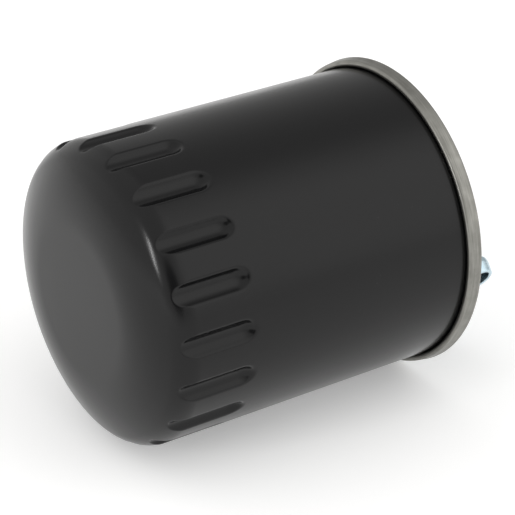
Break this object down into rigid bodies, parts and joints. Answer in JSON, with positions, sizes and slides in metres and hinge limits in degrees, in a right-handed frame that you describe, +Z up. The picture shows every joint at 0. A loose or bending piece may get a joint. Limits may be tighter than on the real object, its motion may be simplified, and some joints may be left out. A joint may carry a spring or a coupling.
{
  "type": "inline canister filter",
  "caption": "In-line oil filter: black deep-drawn can with a domed, fluted end, rolled steel seam and cover, two elbow hose nipples, and a sprung pleated element with a bypass valve inside.",
  "frame": {"origin": "on the can's axis, in the middle of the plain wall between the flutes and the seam, where the bracket's band holds it", "axes": "+X along the can's axis from the dome to the cover, +Z up with the filter lying on its side; both hose nipples point down and towards -Y"},
  "size_m": [0.114, 0.0844, 0.0844],
  "materials": {
    "black_coat": "semi-gloss black electro-coat on deep-drawn steel",
    "bare_steel": "dull bare steel, polished a little by the seaming rolls",
    "zinc": "clear blue zinc plate",
    "inner_steel": "tinned sheet steel",
    "spring_steel": "oiled spring wire",
    "rubber": "matt nitrile rubber",
    "compound": "cured lining compound",
    "paper": "resin-impregnated filter paper",
    "plastisol": "cured plastisol"
  },
  "bodies": {
    "housing": {"can": "black_coat", "cover": "bare_steel", "seam_compound": "compound", "outlet_nipple": "zinc", "inlet_nipple": "zinc", "outlet_collar": "zinc", "inlet_collar": "zinc", "base_plate": "inner_steel", "outlet_spigot": "inner_steel", "anti_drain_valve": "rubber", "spring_seat": "inner_steel", "element_spring": "spring_steel"},
    "element": {"top_cap": "inner_steel", "bottom_cap": "inner_steel", "outlet_grommet": "rubber", "top_potting": "plastisol", "bottom_potting": "plastisol", "pleated_media": "paper", "media_clip": "inner_steel", "centre_tube": "inner_steel", "bypass_cage": "inner_steel", "bypass_spring": "spring_steel", "spring_cup": "inner_steel"},
    "bypass_valve": {"bypass_poppet": "inner_steel", "bypass_facing": "rubber"}
  },
  "joints": [
    {"name": "element_float", "type": "slide", "parent": "housing", "child": "element", "axis": [-1, 0, 0], "range_m": [0, 0.0025], "stiffness_N_per_m": 2400, "springref_m": -0.008, "deforming": ["element_spring"]},
    {"name": "bypass_lift", "type": "slide", "parent": "element", "child": "bypass_valve", "axis": [1, 0, 0], "range_m": [0, 0.0025], "stiffness_N_per_m": 2000, "springref_m": -0.0065, "deforming": ["bypass_spring"]}
  ]
}
